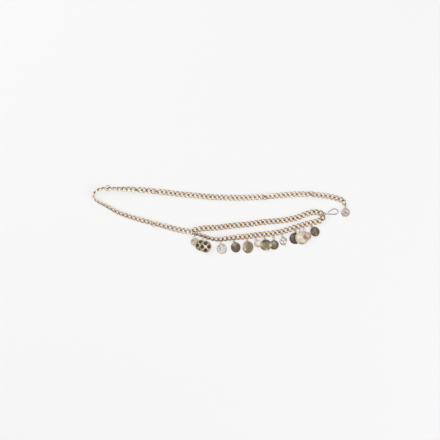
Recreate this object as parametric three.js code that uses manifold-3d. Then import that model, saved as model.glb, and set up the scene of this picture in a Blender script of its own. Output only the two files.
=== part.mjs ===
// A coin chain belt, laid out flat as it lies on a table: a waist chain of curb links, a front
// chain and a swag chain that carries the coins, a wire hook and an end coin. Millimetres, +Z up.
// The belt rests on the plane z = 0, and its origin is the middle of its outline.

import * as THREE from 'three';
import { mergeVertices } from 'three/addons/utils/BufferGeometryUtils.js';
import Module from 'manifold-3d';

const wasm = await Module();
wasm.setup();

const { degToRad, lerp, clamp } = THREE.MathUtils;

// ---- Driving dimensions ---------------------------------------------------------------------

// One curb link: an oval of squared wire whose two ends are wrung against each other, so that
// the chain lies flat. Half lengths and widths run to the middle of the wire.
const LINK = {
  halfLength: 4.775,
  halfWidth: 4.55,
  halfWire: 0.9,
  twist: degToRad(55),
  thickness: 4.9,
  segments: 8,
};
const PITCH = 8; // a link's reach along the chain; its end bars bite 0.25 into the next link's
const FRONT_PITCH = 7.96; // the front and swag chains are drawn up a little, to end at the hook
const SWAG_PITCH = 8;
const RUN_STEP_BACK = 0.55; // two runs of links meet this much closer, which parts them by 0.3

// Plain rings: radius to the middle of the wire, and half the wire.
const ADJUSTING_RING = { radius: 4.6, halfWire: 0.56, segments: 12 };
const JUNCTION_RING = { radius: 5, halfWire: 0.56, segments: 12 };
const HOOK_RING = { radius: 3.9, halfWire: 0.52, segments: 12 };
const JUMP_RING = { radius: 3.2, halfWire: 0.45, segments: 12 };

// An adjusting ring leans over between its two neighbours, which roll a little to let it in. It
// stands out on one side of the chain.
const RING_SEAT = {
  toNeighbour: 5.92, // ring's middle to the middle of the link beside it
  lean: degToRad(40.15),
  yaw: degToRad(-13),
  neighbourRoll: degToRad(-25),
  aside: 1.51, // from the chain's middle line
  back: 0.2,
  down: 0.3,
  chainHeight: 3.97, // the chain's middle line stands this high beside the ring
  fade: 16, // the roll and the height fade out over this length
};

// Coins: a disc with a raised rim, and a loop that the jump ring goes through.
const COIN = { thickness: 1.5, rimWidth: 1.1, rimStep: 0.35, segments: 14 };
const LOOP = { holeRadius: 1.25, halfWire: 0.42, halfThickness: 0.55, segments: 8 };
const COIN_TO_HOLE = 1.35; // from the coin's edge to the middle of the loop's hole
const SEAT = 0.1; // how far a ring and what hangs from it are drawn apart
const END_SEAT = 0.7; // the same for the end coin's ring on the last link's end bar
const END_TURN = degToRad(-14); // and how far that ring is turned from the link's own line
const MOST_LEAN = degToRad(20); // a coin swings aside on its ring no further than this
const CLEAR = 0.1; // what lies on the table stays this far above it

// The wire hook, a flat teardrop with an eye at its shank.
const HOOK = { radius: 0.85, sides: 6, steps: 18 };
const HOOK_EYE = { radius: 2.35, halfWire: 0.85, segments: 12 };


// The middle of the outline, in the coordinates of the tables below.
const CENTRE = { x: 1.95, y: -1.07 };

// ---- Where the chains lie -------------------------------------------------------------------

// Each row is a point of a chain's middle line, with the roll of the links about that line in
// degrees (the left edge rises) and how far the chain is held off the table.
const row = ([x, y, roll, lift]) => ({ x, y, roll: degToRad(roll), lift });

// From the end coin along the back to the left, round the turn and back to the junction.
const WAIST_LINE = [
  [222.6, 26.2, 0, 1.3],
  [219.4, 33, 0, 1],
  [208, 37.4, 0, 0],
  [192.6, 41, 0, 0],
  [163.8, 43.9, 0, 0],
  [149.4, 44.6, 0, 0],
  [120.6, 43.7, 0, 0],
  [91.8, 41, 0, 0],
  [63, 39.2, 0, 0],
  [34.2, 38.3, 0, 0],
  [5.4, 38.7, 0, 0],
  [-23.4, 40.1, 0, 0],
  [-52.2, 42.8, 0, 0],
  [-81, 45.5, 0, 0],
  [-100, 47.9, 14, 0],
  [-131, 51.2, 14, 0],
  [-141, 52.1, 36, 0],
  [-163, 53.4, 36, 0],
  [-180, 54, 46, 0],
  [-196.2, 54.6, 46, 0],
  [-213, 54.8, 50, 0],
  [-223.6, 51.2, 78, 0],
  [-229.4, 43, 88, 0],
  [-225.4, 33.6, 78, 0],
  [-213, 27.6, 60, 0],
  [-196.2, 18.2, 46, 0],
  [-181.8, 10.6, 42, 0],
  [-160.2, 3.2, 36, 0],
  [-138.6, -3.1, 26, 0],
  [-109.8, -10.3, 10, 0],
  [-81, -18.2, 2, 0],
  [-66, -21.1, 0, 0],
  [-59.4, -22.4, -2, 0.5],
  [-50, -24, -2, 0.5],
].map(row);

const FRONT_LINE = [
  [-50.5, -20.5, 20, 0.6],
  [-42, -18.8, 20, 0.3],
  [-30.6, -16.6, 6, 0],
  [-9, -15.7, 0, 0],
  [19.8, -12.1, 0, 0],
  [48.6, -9.4, 0, 0],
  [77.4, -5.4, 0, 0],
  [106.2, -3.1, 0, 0],
  [135, 1.8, 0, 0],
  [149.4, 7.7, 0, 0],
  [163.8, 12, 0, 0],
  [170, 12.9, 0, 0],
  [175.2, 12, -3, 0.6],
  [182.7, 9.3, -5, 0.7],
  [190, 6.6, -5, 0.7],
].map(row);

const SWAG_LINE = [
  [-50.6, -25.4, 57, 0.1],
  [-42.6, -27.1, 58, 0.3],
  [-36, -28.9, 60, 0.9],
  [-27, -31.9, 60, 0.9],
  [-14.4, -35.8, 50, 0.9],
  [-1.8, -36.4, 36, 0.9],
  [12.6, -34.7, 30, 0.9],
  [28.8, -32.8, 24, 0.6],
  [40, -31.9, 8, 0.5],
  [48.6, -31.3, 0, 0.5],
  [64.1, -28.8, 0, 0.5],
  [84.6, -27, 0, 0.5],
  [106.2, -23.4, 0, 0.5],
  [120.6, -19.3, 0, 0.5],
  [135, -14.4, 0, 0.5],
  [149.4, -10.3, 0, 0.5],
  [160.2, -7.2, 0, 0.5],
  [168, -5.6, 0, 0.5],
  [175, -3.9, 0, 0.5],
  [181.3, -1.3, -5, 0.6],
  [184.5, 6, -5, 0.6],
  [187.5, 13, -5, 0.6],
].map(row);

// How each chain is made up: runs of links, and the adjusting rings between them, each of which
// stands out to the left (1) or the right (-1) of the chain's run.
const WAIST_MAKE_UP = [
  { run: 8 },
  { ring: 'adjusting_ring_1', side: -1, rise: 0 },
  { run: 10 },
  { ring: 'adjusting_ring_2', side: 1, rise: 0 },
  { run: 12 },
  { run: 12 },
  { ring: 'adjusting_ring_3', side: 1, rise: 0.6 },
  { run: 4 },
  { ring: 'adjusting_ring_4', side: 1, rise: 0.8 },
  { run: 6 },
  { ring: 'adjusting_ring_5', side: -1, rise: 0 },
  { run: 6 },
  { run: 6 },
  { run: 7 },
  { ring: 'adjusting_ring_6', side: -1, rise: 0 },
  { run: 8 },
];
const FRONT_MAKE_UP = [{ run: 8 }, { run: 8 }, { run: 7 }, { run: 7 }];
const SWAG_MAKE_UP = [{ run: 3 }, { run: 5 }, { run: 6 }, { run: 6 }, { run: 6 }, { run: 5 }];

// The coins. x and y are a coin's middle; link is the swag chain's link that it hangs from, counted
// from the junction; drop lengthens its loop; ringAngle says where on its jump ring it sits, from
// outermost, upwards; lift holds its far edge off the table where it lies on others; stack names
// the coins that lie on each other and swing together.
const coinRow = ([name, x, y, radius, link, drop, ringAngle, lift, stack, finish]) => (
  { name, x, y, radius, link, drop, ringAngle: degToRad(ringAngle), lift, stack, finish });

const COINS = [
  ['coin_01', -42.7, -36.7, 7.6, 0, 0.6, -30, 0, 'left', 'pale_gold'],
  ['coin_02', -35.6, -44.3, 10.1, 2, 0, 0, 1.95, 'left', 'antique_gold'],
  ['coin_03', -27, -47.3, 10.6, 3, 0, 29, 4.12, 'left', 'antique_gold'],
  ['coin_04', 1.3, -50.9, 9.6, 6, 0, -30, 0, '', 'silver'],
  ['coin_05', 26.5, -50.9, 9.1, 9, 0.5, -30, 0, '', 'dark_bronze'],
  ['coin_06', 48.4, -52, 10.4, 12, 0, -30, 0, '', 'dark_bronze'],
  ['coin_07', 66.2, -45.2, 7, 14, 0, -30, 0, 'middle', 'silver'],
  ['coin_08', 80.6, -47.9, 10.3, 16, 0, 0, 1.95, 'middle', 'antique_gold'],
  ['coin_09', 95.4, -47.2, 8.6, 18, 3.5, -30, 0, 'middle', 'dark_bronze'],
  ['coin_10', 112.3, -40.3, 7.3, 20, 1.5, -30, 0, '', 'silver'],
  ['coin_11', 131.9, -35.8, 10.3, 23, 0.5, -30, 0, 'right', 'dark_bronze'],
  ['coin_12', 145.8, -33.5, 12.1, 24, 0, 0, 1.95, 'right', 'pale_gold'],
  ['coin_13', 155, -30.6, 7.4, 25, 5, 29, 4.08, 'right', 'rose_gold'],
  ['coin_14', 170.5, -20.2, 8.7, 27, 0, -30, 0, '', 'dark_bronze'],
].map(coinRow);
const END_COIN = coinRow(['end_coin', 223, 15.2, 8.2, 0, 0.8, -30, 0, '', 'rose_gold']);

// Rings that hold more than two parts: middle, then turns about X, Y and Z in degrees.
const seatRow = ([name, size, x, y, z, roll, pitch, yaw]) => (
  { name, size, middle: [x, y, z], turn: [roll, pitch, yaw].map(degToRad) });
const SHARED_RINGS = [
  ['junction_ring', JUNCTION_RING, -52.52, -22.94, 3.8, 11.9, -3.7, -41.2],
  ['hook_ring', HOOK_RING, 184.44, 8.18, 3.48, 1.5, -0.2, 5.2],
].map(seatRow);
const [EYE_SEAT] = [['hook_eye', HOOK_EYE, 188.57, 8.94, 3.29, 90, 0, -3.9]].map(seatRow);

const HOOK_PIVOT = { x: 188.3, y: 8.7, z: 3.48 }; // in the middle of the ring's wire, in the eye

// The hook's wire from its eye, down to the table and round to its tip.
const HOOK_LINE = [
  [190, 8.85, 1.85],
  [191.7, 8.8, 1.05],
  [194.7, 8.8, 0.9],
  [200.1, 8.7, 0.9],
  [206.3, 8.8, 0.9],
  [210.1, 11.5, 0.9],
  [209.5, 15.8, 0.9],
  [205.3, 18.3, 0.9],
  [200.7, 17.3, 0.9],
  [196.4, 14.6, 0.9],
  [192.9, 12.1, 0.9],
];

// ---- Materials ------------------------------------------------------------------------------

const metal = (color, roughness) =>
  new THREE.MeshStandardMaterial({ color, roughness, metalness: 1 });

const FINISHES = {
  pale_gold: () => metal(0xd8bd96, 0.28),
  rose_gold: () => metal(0xc9a184, 0.32),
  silver: () => metal(0xbdbbb6, 0.32),
  dark_bronze: () => metal(0x5e5446, 0.5),
  antique_gold: () => metal(0x8f8060, 0.45),
};

// ---- Solids ---------------------------------------------------------------------------------

// A closed geometry with shared vertices and no collapsed faces.
function closed(geometry) {
  geometry.deleteAttribute('normal');
  geometry.deleteAttribute('uv');
  const merged = mergeVertices(geometry, 1e-4);
  const corners = merged.index.array;
  const kept = [];
  for (let i = 0; i < corners.length; i += 3) {
    const [a, b, c] = [corners[i], corners[i + 1], corners[i + 2]];
    if (a !== b && b !== c && c !== a) kept.push(a, b, c);
  }
  merged.setIndex(kept);
  return merged;
}

function toSolid(geometry) {
  return new wasm.Manifold(new wasm.Mesh({
    numProp: 3,
    vertProperties: new Float32Array(geometry.attributes.position.array),
    triVerts: new Uint32Array(geometry.index.array),
  }));
}

function toGeometry(solid) {
  const mesh = solid.getMesh();
  const geometry = new THREE.BufferGeometry();
  geometry.setAttribute('position', new THREE.BufferAttribute(mesh.vertProperties, 3));
  geometry.setIndex(new THREE.BufferAttribute(mesh.triVerts, 1));
  return geometry;
}

// Joins closed geometries that bite into each other into one closed body.
function join(geometries) {
  const whole = geometries.map(toSolid).reduce((all, next) => all.add(next));
  return toGeometry(whole);
}

// Moves every vertex of a geometry by a function of its position.
function reshape(geometry, move) {
  const position = geometry.attributes.position;
  const point = new THREE.Vector3();
  for (let i = 0; i < position.count; i++) {
    point.fromBufferAttribute(position, i);
    move(point);
    position.setXYZ(i, point.x, point.y, point.z);
  }
  return geometry;
}

// A ring of squared wire round Z whose flat stretches touch the given half length and width.
// A torus gives the mesh: its tube's corners become the corners of the wire.
function squaredRing(halfLength, halfWidth, halfWire, halfThickness, segments, sides = 4) {
  const guide = 10;
  const spread = 1 / Math.cos(Math.PI / segments);
  const torus = new THREE.TorusGeometry(guide, Math.SQRT2, sides, segments);
  return closed(reshape(torus, (point) => {
    const turn = Math.atan2(point.y, point.x) + Math.PI / segments;
    const outward = Math.hypot(point.x, point.y) - guide;
    const across = (outward - point.z) / Math.SQRT2;
    const up = (outward + point.z) / Math.SQRT2;
    const normal = new THREE.Vector2(Math.cos(turn) / halfLength, Math.sin(turn) / halfWidth);
    normal.normalize().multiplyScalar(across * halfWire * spread);
    point.set(
      halfLength * spread * Math.cos(turn) + normal.x,
      halfWidth * spread * Math.sin(turn) + normal.y,
      up * halfThickness,
    );
  }));
}

// A curb link along X: wrung about X, then pressed flat on both faces.
function curbLink() {
  const { halfLength, halfWidth, halfWire, twist, thickness, segments } = LINK;
  const flat = squaredRing(halfLength, halfWidth, halfWire, halfWire, segments);
  const axis = new THREE.Vector3(1, 0, 0);
  return reshape(flat, (point) => {
    point.applyAxisAngle(axis, -twist * clamp(point.x / halfLength, -1, 1));
    point.z = clamp(point.z, -thickness / 2, thickness / 2);
  });
}

function plainRing({ radius, halfWire, segments }) {
  return squaredRing(radius, radius, halfWire * 0.9, halfWire * 0.9, segments);
}

const LINK_SHAPE = curbLink();

// How high a rolled link's middle stands when its lowest edge touches the table.
function standingHeight(roll) {
  const position = LINK_SHAPE.attributes.position;
  let lowest = 0;
  for (let i = 0; i < position.count; i++) {
    lowest = Math.min(lowest, position.getY(i) * Math.sin(roll) + position.getZ(i) * Math.cos(roll));
  }
  return -lowest;
}

// ---- Chain layout ---------------------------------------------------------------------------

// Closely spaced samples of a chain's middle line, with its roll and lift.
function sampleLine(rows, perRow = 150) {
  const points = rows.map(({ x, y }) => new THREE.Vector3(x - CENTRE.x, y - CENTRE.y, 0));
  const curve = new THREE.CatmullRomCurve3(points, false, 'catmullrom', 0.5);
  const count = (rows.length - 1) * perRow;
  const samples = [];
  for (let i = 0; i <= count; i++) {
    const along = i / perRow;
    const before = Math.min(Math.floor(along), rows.length - 2);
    const part = along - before;
    samples.push({
      point: curve.getPoint(i / count),
      roll: lerp(rows[before].roll, rows[before + 1].roll, part),
      lift: lerp(rows[before].lift, rows[before + 1].lift, part),
      height: 0,
    });
  }
  return samples;
}

// The place on the line at a straight distance from another place, forwards or back.
function stepAlong(samples, from, distance) {
  const start = sampleAt(samples, from).point;
  const stride = Math.sign(distance);
  const reach = Math.abs(distance);
  let place = stride > 0 ? Math.floor(from) : Math.ceil(from);
  let last = 0;
  while (samples[place + stride]) {
    const gone = samples[place + stride].point.distanceTo(start);
    if (gone >= reach) return place + stride * (reach - last) / (gone - last);
    last = gone;
    place += stride;
  }
  return place;
}

function sampleAt(samples, place) {
  const before = clamp(Math.floor(place), 0, samples.length - 2);
  const [a, b] = [samples[before], samples[before + 1]];
  const part = place - before;
  return {
    point: a.point.clone().lerp(b.point, part),
    roll: lerp(a.roll, b.roll, part),
    height: lerp(a.height, b.height, part),
  };
}

// A frame with X along the chain and Y to its left, rolled about X.
function chainFrame(from, to, roll) {
  const along = to.clone().sub(from).normalize();
  const left = new THREE.Vector3(0, 0, 1).cross(along).normalize();
  const up = along.clone().cross(left);
  const frame = new THREE.Matrix4().makeBasis(along, left, up);
  frame.multiply(new THREE.Matrix4().makeRotationX(roll));
  return frame.setPosition(from.clone().add(to).multiplyScalar(0.5));
}

// Lifts a link's frame where the link would dip below the table.
function liftClear(frame) {
  const position = LINK_SHAPE.attributes.position;
  const point = new THREE.Vector3();
  let lowest = 0;
  for (let i = 0; i < position.count; i++) {
    lowest = Math.min(lowest, point.fromBufferAttribute(position, i).applyMatrix4(frame).z);
  }
  const middle = new THREE.Vector3().setFromMatrixPosition(frame);
  return frame.setPosition(middle.setZ(middle.z - lowest));
}

// Walks along a line and lays down links and rings, each at its own length.
function walk(samples, makeUp, pitch) {
  const runs = [];
  const rings = [];
  const ringReach = RING_SEAT.toNeighbour - pitch / 2;
  let place = 0;
  let afterRun = false;
  for (const { run, ring, side, rise } of makeUp) {
    if (ring) {
      const middle = stepAlong(samples, place, ringReach);
      rings.push({ name: ring, place: middle, side, rise });
      place = stepAlong(samples, middle, ringReach);
      afterRun = false;
      continue;
    }
    if (afterRun) place = stepAlong(samples, place, -RUN_STEP_BACK);
    const frames = [];
    for (let i = 0; i < run; i++) {
      const next = stepAlong(samples, place, pitch);
      const [from, to] = [sampleAt(samples, place), sampleAt(samples, next)];
      const [low, high] = [from, to].map(({ point, height }) => point.clone().setZ(height));
      frames.push(liftClear(chainFrame(low, high, (from.roll + to.roll) / 2)));
      place = next;
    }
    runs.push(frames);
    afterRun = true;
  }
  return { runs, rings };
}

// Lays a chain twice: once to find its rings, and again with the links rolled beside them.
function layChain(rows, makeUp, pitch) {
  const samples = sampleLine(rows);
  const draft = walk(samples, makeUp, pitch);
  const bare = samples.map(({ roll }) => roll);
  for (const sample of samples) sample.height = standingHeight(sample.roll) + sample.lift;
  for (const { place, side, rise } of draft.rings) {
    const centre = sampleAt(samples, place).point;
    for (const sample of samples) {
      const away = sample.point.distanceTo(centre) - RING_SEAT.toNeighbour;
      const share = clamp(1 - away / RING_SEAT.fade, 0, 1);
      if (share === 0) continue;
      sample.roll += RING_SEAT.neighbourRoll * side * share;
      const natural = standingHeight(sample.roll) + sample.lift;
      const beside = RING_SEAT.chainHeight + rise;
      sample.height = Math.max(natural, lerp(natural, beside, share));
    }
  }
  const laid = walk(samples, makeUp, pitch);
  for (const ring of laid.rings) {
    const here = sampleAt(samples, ring.place);
    const ahead = sampleAt(samples, ring.place + 1).point;
    const behind = sampleAt(samples, ring.place - 1).point;
    const roll = bare[Math.round(ring.place)];
    ring.frame = chainFrame(behind, ahead, roll);
    ring.frame.setPosition(here.point.setZ(here.height));
  }
  return laid;
}

// ---- The chains -----------------------------------------------------------------------------

const belt = new THREE.Group();
belt.name = 'coin_chain_belt';

function place(name, geometry, finish, matrix) {
  const mesh = new THREE.Mesh(geometry, FINISHES[finish]());
  mesh.name = name;
  if (matrix) matrix.decompose(mesh.position, mesh.quaternion, mesh.scale);
  belt.add(mesh);
  return mesh;
}

function placeRuns(name, runs) {
  runs.forEach((frames, i) => {
    const links = frames.map((frame) => LINK_SHAPE.clone().applyMatrix4(frame));
    place(`${name}_run_${i + 1}`, join(links), 'pale_gold');
  });
}

const waist = layChain(WAIST_LINE, WAIST_MAKE_UP, PITCH);
const front = layChain(FRONT_LINE, FRONT_MAKE_UP, FRONT_PITCH);
const swag = layChain(SWAG_LINE, SWAG_MAKE_UP, SWAG_PITCH);

placeRuns('waist', waist.runs);
placeRuns('front', front.runs);
placeRuns('swag', swag.runs);

for (const { name, frame, side } of waist.rings) {
  const { back, aside, down } = RING_SEAT;
  const seat = new THREE.Matrix4().makeTranslation(back * side, aside * side, -down);
  seat.multiply(new THREE.Matrix4().makeRotationZ(RING_SEAT.yaw));
  seat.multiply(new THREE.Matrix4().makeRotationX(RING_SEAT.lean * side));
  place(name, plainRing(ADJUSTING_RING), 'rose_gold', frame.clone().multiply(seat));
}

function seatFrame({ middle, turn }) {
  const frame = new THREE.Matrix4().makeRotationFromEuler(new THREE.Euler(...turn, 'ZYX'));
  const [x, y, z] = middle;
  return frame.setPosition(x - CENTRE.x, y - CENTRE.y, z);
}

for (const ring of SHARED_RINGS) place(ring.name, plainRing(ring.size), 'rose_gold', seatFrame(ring));

// ---- The hook -------------------------------------------------------------------------------

function hookGeometry() {
  const { radius, sides, steps } = HOOK;
  const profile = new THREE.Shape(new THREE.Path().absarc(0, 0, radius, 0, 2 * Math.PI)
    .getSpacedPoints(sides).slice(0, sides));
  const extrudePath = new THREE.CatmullRomCurve3(
    HOOK_LINE.map(([x, y, z]) => new THREE.Vector3(x - CENTRE.x, y - CENTRE.y, z)),
  );
  const wire = new THREE.ExtrudeGeometry(profile, { steps, extrudePath, curveSegments: 1 });
  const eye = plainRing(HOOK_EYE).applyMatrix4(seatFrame(EYE_SEAT));
  return join([closed(wire), eye]);
}

// It swings up about the wire of its ring.
const hook = place('hook', hookGeometry(), 'silver');
const { x: acrossX, y: acrossY } = new THREE.Vector3().setFromMatrixColumn(seatFrame(EYE_SEAT), 2);
hook.userData.hinge = {
  middle: [HOOK_PIVOT.x - CENTRE.x, HOOK_PIVOT.y - CENTRE.y, HOOK_PIVOT.z],
  axis: [acrossX, acrossY, 0],
};

// ---- Coins and their jump rings -------------------------------------------------------------

// A coin that hangs along -Y from the jump ring's wire at the origin, face up: a struck disc with
// a raised rim, and a loop for the ring.
function coinGeometry({ radius, drop }) {
  const { thickness, rimWidth, rimStep, segments } = COIN;
  const [base, top] = [-thickness / 2, thickness / 2];
  const profile = [
    [0, base],
    [radius, base],
    [radius, top],
    [radius - rimWidth, top],
    [radius - rimWidth, top - rimStep],
    [0, top - rimStep],
  ].map(([x, y]) => new THREE.Vector2(x, y));
  const disc = closed(new THREE.LatheGeometry(profile, segments));
  const middle = radius + COIN_TO_HOLE + SEAT + drop;
  disc.rotateX(Math.PI / 2).translate(0, -middle, 0);
  const { holeRadius, halfWire, halfThickness } = LOOP;
  const across = holeRadius + halfWire;
  const loop = squaredRing(across, across + drop / 2, halfWire, halfThickness, LOOP.segments);
  loop.translate(0, -SEAT - drop / 2, 0);
  return join([disc, loop]);
}

// Hangs a coin from a point of the chain, out along the table. Its ring stands across the axis.
function hang(coin, ringMiddle, outward) {
  const up = new THREE.Vector3(0, 0, 1);
  const axis = outward.clone().cross(up);
  const { radius, halfWire } = JUMP_RING;
  const ringFrame = new THREE.Matrix4().makeBasis(outward, up, axis).setPosition(ringMiddle);
  place(`${coin.name}_ring`, plainRing(JUMP_RING), 'rose_gold', ringFrame);

  const wire = ringMiddle.clone();
  wire.addScaledVector(outward, radius * Math.cos(coin.ringAngle));
  wire.addScaledVector(up, radius * Math.sin(coin.ringAngle));
  const reach = coin.radius + COIN_TO_HOLE + SEAT + coin.drop;
  const target = new THREE.Vector3(coin.x - CENTRE.x, coin.y - CENTRE.y, wire.z).sub(wire);
  const lean = clamp(Math.asin(clamp(target.dot(axis) / reach, -1, 1)), -MOST_LEAN, MOST_LEAN);
  const length = reach * Math.cos(lean) + coin.radius;
  const drop = wire.z - COIN.thickness / 2 - coin.lift - CLEAR;
  const pitch = Math.asin(drop / length);
  const along = outward.clone().multiplyScalar(Math.cos(pitch)).addScaledVector(up, -Math.sin(pitch));
  const normal = along.clone().cross(axis).negate();
  const frame = new THREE.Matrix4().makeBasis(axis.clone().negate(), along.clone().negate(), normal);
  frame.multiply(new THREE.Matrix4().makeRotationZ(-lean)).setPosition(wire);
  const mesh = place(coin.name, coinGeometry(coin), coin.finish, frame);
  mesh.userData.hinge = { middle: ringMiddle.toArray(), axis: axis.toArray() };
}

// The middle of a link's outer side wire, and the direction outwards across the table.
function sideWire(frame) {
  const across = new THREE.Vector3().setFromMatrixColumn(frame, 0).setZ(0).normalize();
  const outward = across.clone().cross(new THREE.Vector3(0, 0, 1));
  const sides = [-1, 1].map((side) => new THREE.Vector3(0, side * LINK.halfWidth, 0));
  const [right, left] = sides.map((side) => side.applyMatrix4(frame));
  return { wire: right.dot(outward) > left.dot(outward) ? right : left, outward };
}

function ringHeight(wire) {
  return Math.max(wire.z, JUMP_RING.radius + JUMP_RING.halfWire + CLEAR);
}

const swagLinks = swag.runs.flat();
const stacks = {};
for (const coin of COINS) {
  const { wire, outward } = sideWire(swagLinks[coin.link]);
  const key = coin.stack || coin.name;
  stacks[key] = [...(stacks[key] ?? []), { coin, wire, outward }];
}

// The rings of a stack share one axis, through the middle of their wires.
for (const members of Object.values(stacks)) {
  const first = members[0].wire;
  const last = members[members.length - 1].wire;
  const middle = first.clone().add(last).multiplyScalar(0.5);
  const outward = members.length > 1
    ? last.clone().sub(first).setZ(0).normalize().cross(new THREE.Vector3(0, 0, 1))
    : members[0].outward;
  const height = Math.max(...members.map(({ wire }) => ringHeight(wire)));
  for (const { coin, wire } of members) {
    const offset = middle.clone().sub(wire).dot(outward);
    hang(coin, wire.clone().addScaledVector(outward, offset + SEAT).setZ(height), outward);
  }
}

// The end coin hangs from the last link's end bar.
const lastLink = waist.runs[0][0];
const endBar = new THREE.Vector3(-LINK.halfLength, 0, 0).applyMatrix4(lastLink);
const endward = new THREE.Vector3().setFromMatrixColumn(lastLink, 0).negate().setZ(0).normalize();
endBar.addScaledVector(endward, END_SEAT).setZ(ringHeight(endBar));
hang(END_COIN, endBar, endward.applyAxisAngle(new THREE.Vector3(0, 0, 1), END_TURN));

export default belt;
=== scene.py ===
"""A coin chain belt, laid out flat: pressed curb links, plain rings, struck coins and a wire hook.

The layout is worked out in millimetres, in the frame's own axes, and every piece is written in
metres. Each chain run is one piece of smooth links, and each coin has its own relief.
"""
import math
from math import cos, pi, radians, sin

import bmesh
import bpy
from mathutils import Euler, Matrix, Vector


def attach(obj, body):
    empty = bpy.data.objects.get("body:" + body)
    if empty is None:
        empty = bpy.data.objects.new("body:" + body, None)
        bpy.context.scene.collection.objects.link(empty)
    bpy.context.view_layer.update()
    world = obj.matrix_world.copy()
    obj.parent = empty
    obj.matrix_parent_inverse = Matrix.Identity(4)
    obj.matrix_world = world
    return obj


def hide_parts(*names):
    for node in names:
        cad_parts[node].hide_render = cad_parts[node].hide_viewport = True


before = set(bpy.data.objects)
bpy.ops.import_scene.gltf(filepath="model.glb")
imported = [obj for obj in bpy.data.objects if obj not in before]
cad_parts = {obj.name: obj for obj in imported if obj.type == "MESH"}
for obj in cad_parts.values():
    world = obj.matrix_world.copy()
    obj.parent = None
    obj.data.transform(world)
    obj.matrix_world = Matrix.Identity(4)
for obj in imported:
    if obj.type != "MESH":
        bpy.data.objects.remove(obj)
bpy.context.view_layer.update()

MM = 0.001
UP = Vector((0, 0, 1))

# ---- Sizes, in millimetres --------------------------------------------------------------------

LINK = dict(half_length=4.775, half_width=4.55, half_wire=0.9, twist=radians(55), thickness=4.9)
LINK_STEPS, LINK_SIDES = 32, 12
LINK_WIRE = 1.1  # the drawn wire, round where the frame's is square
LINK_SIDE_WIDTH = 1.42  # how much wider the wire is pressed along the link's two sides
DRAWN_HALF_LENGTH, DRAWN_HALF_WIDTH, DRAWN_TWIST = 4.94, 3.69, radians(25)
PRESSED = 0.02  # wire this near to the link's full thickness lies in its pressed faces
GUIDE = 10.0  # radius of the plain ring that a wire is bent from
PITCH, FRONT_PITCH, SWAG_PITCH = 8.0, 7.96, 8.0
RUN_STEP_BACK = 0.55  # how far a run starts back, so that its first link hangs in the last one
SAMPLES_PER_ROW = 150  # how finely a chain's line is followed from one of its rows to the next
CENTRE = Vector((1.95, -1.07, 0))  # the middle of the belt's outline, where the origin goes
SEAT = 0.1  # how far a ring and what hangs from it are drawn apart
END_SEAT = 0.7  # the same for the end coin's ring
END_TURN = radians(-14)  # how far that ring is turned from the link's own line
CLEAR = 0.1  # what lies on the table stays this far above it
MOST_LEAN = radians(20)  # how far a coin swings to the side to reach its place

ADJUSTING_RING = dict(radius=4.6, wire=0.6)
JUNCTION_RING = dict(radius=5.0, wire=0.6)
HOOK_RING = dict(radius=3.9, wire=0.55)
JUMP_RING = dict(radius=3.2, wire=0.42)
JUMP_HALF_WIRE = 0.45  # half the solid ring's square wire, which sets how high a ring stands
RING_STEPS, RING_SIDES = 44, 12
RING_SPLIT = 0.045  # the hairline where a ring's wire was cut
RING_SEAT = dict(to_neighbour=5.92, lean=radians(40.15), yaw=radians(-13),
                 neighbour_roll=radians(-25), aside=1.51, back=0.2, down=0.3,
                 chain_height=3.97, fade=16.0)
COIN_THICKNESS = 1.5
COIN_TO_HOLE = 1.35
COIN_STEPS = 72
FIELD = 0.38  # height of the field over the coin's middle
STRUCK = 0.3  # how high the relief stands over the field
LOOP = dict(hole=1.25, wire=0.42)
COLLAR = dict(wide=1.15, narrow=0.7, height=1.9, flat=0.62, bevel=0.14, rise=0.35)
COLLAR_FROM = 0.3  # a coin with a longer drop than this has a collar under its loop
HOOK_WIRE = 0.82
HOOK_EYE_RADIUS = 2.35
EYE_WIRE, EYE_STEPS = HOOK_WIRE * 0.92, 40
HOOK_BALL = HOOK_WIRE * 1.12

# ---- Where the chains lie: x, y, roll in degrees, lift ----------------------------------------

WAIST_LINE = (
    (222.6, 26.2, 0, 1.3), (219.4, 33, 0, 1), (208, 37.4, 0, 0), (192.6, 41, 0, 0),
    (163.8, 43.9, 0, 0), (149.4, 44.6, 0, 0), (120.6, 43.7, 0, 0), (91.8, 41, 0, 0),
    (63, 39.2, 0, 0), (34.2, 38.3, 0, 0), (5.4, 38.7, 0, 0), (-23.4, 40.1, 0, 0),
    (-52.2, 42.8, 0, 0), (-81, 45.5, 0, 0), (-100, 47.9, 14, 0), (-131, 51.2, 14, 0),
    (-141, 52.1, 36, 0), (-163, 53.4, 36, 0), (-180, 54, 46, 0), (-196.2, 54.6, 46, 0),
    (-213, 54.8, 50, 0), (-223.6, 51.2, 78, 0), (-229.4, 43, 88, 0), (-225.4, 33.6, 78, 0),
    (-213, 27.6, 60, 0), (-196.2, 18.2, 46, 0), (-181.8, 10.6, 42, 0), (-160.2, 3.2, 36, 0),
    (-138.6, -3.1, 26, 0), (-109.8, -10.3, 10, 0), (-81, -18.2, 2, 0), (-66, -21.1, 0, 0),
    (-59.4, -22.4, -2, 0.5), (-50, -24, -2, 0.5))
FRONT_LINE = (
    (-50.5, -20.5, 20, 0.6), (-42, -18.8, 20, 0.3), (-30.6, -16.6, 6, 0), (-9, -15.7, 0, 0),
    (19.8, -12.1, 0, 0), (48.6, -9.4, 0, 0), (77.4, -5.4, 0, 0), (106.2, -3.1, 0, 0),
    (135, 1.8, 0, 0), (149.4, 7.7, 0, 0), (163.8, 12, 0, 0), (170, 12.9, 0, 0),
    (175.2, 12, -3, 0.6), (182.7, 9.3, -5, 0.7), (190, 6.6, -5, 0.7))
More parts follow.
